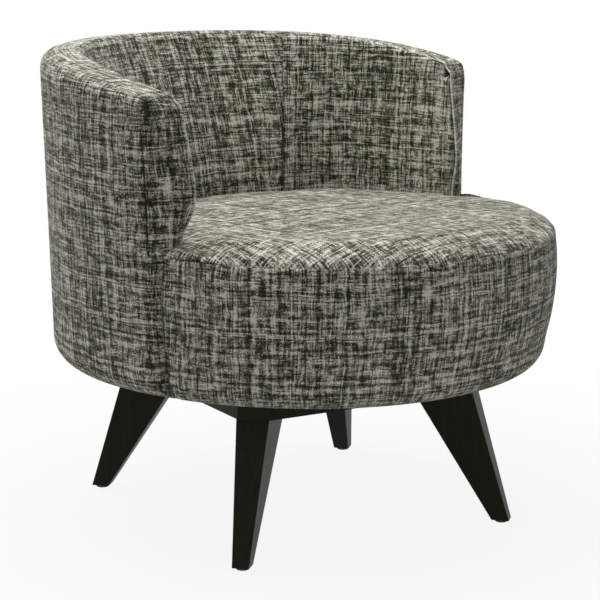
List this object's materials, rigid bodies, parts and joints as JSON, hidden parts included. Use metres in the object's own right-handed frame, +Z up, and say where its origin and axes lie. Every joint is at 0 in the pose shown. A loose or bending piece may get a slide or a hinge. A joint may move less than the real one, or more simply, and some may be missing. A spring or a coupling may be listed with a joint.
{
  "type": "swivel tub chair",
  "caption": "Low round upholstered tub chair with a tight drum seat and a wrap-round back, turning freely on a board with splayed tapered wooden legs.",
  "frame": {"origin": "on the floor under the swivel axis", "axes": "+Z up along the swivel axis, the sitter faces -Y, +X is the sitter's left"},
  "size_m": [0.7518, 0.7522, 0.6869],
  "materials": {
    "dark_wood": "dark espresso stain, satin",
    "nylon": "moulded nylon",
    "zinc_screws": "zinc plated",
    "pressed_steel": "blackened pressed steel",
    "ball_steel": "polished balls",
    "plywood": "bare plywood and softwood",
    "spring_steel": "oiled spring wire",
    "felt": "pressed felt",
    "foam": "open-cell foam and wadding",
    "tweed": "slubby black, grey and cream plain weave",
    "lining": "black non-woven lining"
  },
  "bodies": {
    "base": {"leg_front_left": "dark_wood", "leg_rear_left": "dark_wood", "leg_rear_right": "dark_wood", "leg_front_right": "dark_wood", "foot_glides": "nylon", "base_board": "dark_wood", "leg_screws": "zinc_screws", "swivel_lower_plate": "pressed_steel", "lower_plate_screws": "zinc_screws", "swivel_pivot_rivet": "pressed_steel"},
    "bearing_cage": {"ball_cage": "pressed_steel", "bearing_balls": "ball_steel"},
    "seat": {"swivel_upper_plate": "pressed_steel", "upper_plate_bolts": "zinc_screws", "tee_nuts": "zinc_screws", "seat_board": "plywood", "frame_posts": "plywood", "frame_screws": "zinc_screws", "deck_ring": "plywood", "front_ply": "plywood", "seat_springs": "spring_steel", "spring_clips": "spring_steel", "spring_pad": "felt", "seat_foam": "foam", "seat_top_cover": "tweed", "seat_boxing_cover": "tweed", "boxing_padding": "foam", "dust_cover": "lining", "tub_ply": "plywood", "back_uprights": "plywood", "left_arm_upright": "plywood", "right_arm_upright": "plywood", "outside_padding": "foam", "outside_cover": "tweed", "centre_back_foam": "foam", "centre_back_cover": "tweed", "left_arm_foam": "foam", "left_arm_cover": "tweed", "right_arm_foam": "foam", "right_arm_cover": "tweed"}
  },
  "joints": [
    {"name": "seat_swivel", "type": "hinge", "parent": "base", "child": "seat", "pos_m": [0, 0, 0.23], "axis": [0, 0, 1], "continuous": true},
    {"name": "cage_roll", "type": "hinge", "parent": "base", "child": "bearing_cage", "pos_m": [0, 0, 0.23], "axis": [0, 0, 1], "continuous": true}
  ],
  "couplings": [
    {"joint": "cage_roll", "follows": "seat_swivel", "ratio": 0.5}
  ]
}
